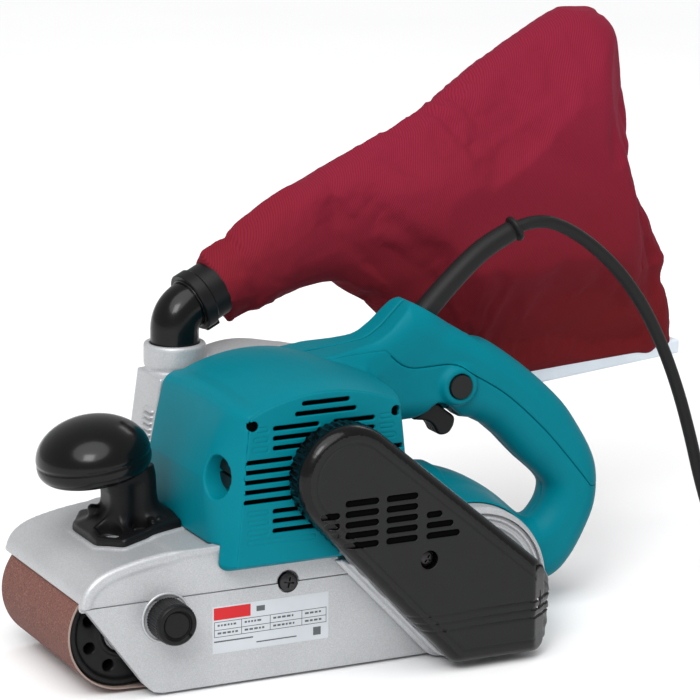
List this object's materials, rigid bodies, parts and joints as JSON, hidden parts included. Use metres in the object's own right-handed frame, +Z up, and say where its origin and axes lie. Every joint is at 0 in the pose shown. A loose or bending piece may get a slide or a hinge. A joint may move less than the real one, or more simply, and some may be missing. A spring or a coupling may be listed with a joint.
{
  "type": "handheld belt sander",
  "caption": "Corded handheld belt sander: abrasive belt on two rollers, transverse motor with side belt drive, D handle with trigger, ball front grip and dust bag.",
  "frame": {"origin": "centre of the belt's working face, midway between the two rollers, on the surface being sanded", "axes": "+Z up, away from the work; -X towards the front grip, +X towards the handle; -Y towards the belt drive cover, +Y towards the open belt side and the dust outlet"},
  "size_m": [0.563, 0.2501, 0.3303],
  "materials": {
    "teal_plastic": "moulded glass-filled nylon, fine satin grain",
    "painted_alloy": "satin light grey paint over die-cast alloy",
    "black_plastic": "satin black moulded plastic",
    "gloss_black": "polished black grip",
    "cover_plastic": "fine grained charcoal plastic",
    "steel": "ground and brushed steel",
    "dark_steel": "blackened steel",
    "machined_alloy": "turned aluminium",
    "copper": "copper bars and windings",
    "brass": "bare brass",
    "rubber": "black rubber",
    "abrasive": "red-brown abrasive grit on a cloth backing",
    "graphite": "graphite",
    "bag_cloth": "woven burgundy cloth",
    "rail_plastic": "white moulded plastic"
  },
  "bodies": {
    "root": {"sanding_belt": "abrasive", "platen_pad": "graphite", "platen": "steel", "tension_spring": "steel", "drive_bearing_near": "steel", "drive_bearing_far": "steel", "frame_casting": "machined_alloy", "side_plate": "painted_alloy", "side_screw": "dark_steel", "rear_fender": "painted_alloy", "motor_housing": "teal_plastic", "motor_end_cover": "teal_plastic", "stator": "dark_steel", "motor_bearing_near": "steel", "motor_bearing_far": "steel", "brush_front": "graphite", "brush_rear": "graphite", "brush_cap_front": "black_plastic", "brush_cap_rear": "black_plastic", "drive_belt": "rubber", "drive_cover": "cover_plastic", "drive_cover_screw": "dark_steel", "blower_housing": "painted_alloy", "fan_baffle": "black_plastic", "handle_near_half": "teal_plastic", "handle_far_half": "teal_plastic", "handle_cover": "teal_plastic", "switch_body": "black_plastic", "grip_ball": "gloss_black", "grip_foot": "black_plastic", "cord_guard": "rubber", "cord": "rubber", "cord_coil": "rubber", "plug_body": "rubber", "plug_blade_near": "brass", "plug_blade_far": "brass"},
    "carriage": {"roller_yoke": "machined_alloy", "front_axle": "steel"},
    "front_roller": {"front_roller": "black_plastic", "front_bearing_near": "steel", "front_bearing_far": "steel"},
    "drive_roller": {"drive_roller": "machined_alloy", "roller_sleeve": "rubber", "drive_shaft": "steel", "large_pulley": "machined_alloy"},
    "rotor": {"motor_shaft": "steel", "armature_core": "copper", "commutator": "copper", "fan": "cover_plastic", "small_pulley": "machined_alloy"},
    "tension_lever": {"tension_lever": "dark_steel"},
    "tracking_knob": {"tracking_knob": "black_plastic", "tracking_screw": "steel"},
    "trigger": {"trigger": "cover_plastic"},
    "lock_button": {"lock_button": "cover_plastic"},
    "dust_swivel": {"dust_elbow": "black_plastic", "bag_cuff": "black_plastic", "dust_bag": "bag_cloth", "bag_rail": "rail_plastic"}
  },
  "joints": [
    {"name": "tension_slide", "type": "slide", "parent": "root", "child": "carriage", "axis": [1, 0, 0], "range_m": [0, 0.008], "stiffness_N_per_m": 2500, "springref_m": -0.012, "deforming": ["tension_spring"]},
    {"name": "front_roller_spin", "type": "hinge", "parent": "carriage", "child": "front_roller", "pos_m": [-0.103, 0, 0.034], "axis": [0, 1, 0], "continuous": true},
    {"name": "drive_spin", "type": "hinge", "parent": "root", "child": "drive_roller", "pos_m": [0.103, 0, 0.034], "axis": [0, 1, 0], "continuous": true},
    {"name": "motor_spin", "type": "hinge", "parent": "root", "child": "rotor", "pos_m": [0.006, 0, 0.117], "axis": [0, 1, 0], "continuous": true},
    {"name": "lever_turn", "type": "hinge", "parent": "root", "child": "tension_lever", "pos_m": [-0.0215, 0.06, 0.034], "axis": [0, -1, 0], "range_deg": [0, 80]},
    {"name": "tracking_turn", "type": "hinge", "parent": "root", "child": "tracking_knob", "pos_m": [-0.0843, -0.07, 0.0436], "axis": [0, 1, 0], "range_deg": [-180, 180]},
    {"name": "trigger_pull", "type": "hinge", "parent": "root", "child": "trigger", "pos_m": [0.089, 0, 0.127], "axis": [0, -1, 0], "range_deg": [0, 6], "stiffness_Nm_per_rad": 1.2, "springref_deg": -8.59},
    {"name": "lock_press", "type": "slide", "parent": "root", "child": "lock_button", "axis": [0, 1, 0], "range_m": [0, 0.003], "stiffness_N_per_m": 400, "springref_m": -0.003},
    {"name": "dust_swivel_turn", "type": "hinge", "parent": "root", "child": "dust_swivel", "pos_m": [-0.0315, 0.046, 0.17], "axis": [0, 0, 1], "range_deg": [0, 170]}
  ],
  "couplings": [
    {"joint": "front_roller_spin", "follows": "drive_spin", "ratio": 1},
    {"joint": "motor_spin", "follows": "drive_spin", "ratio": 1.6993},
    {"joint": "lever_turn", "follows": "tension_slide", "rad_per_m": 174.53}
  ]
}
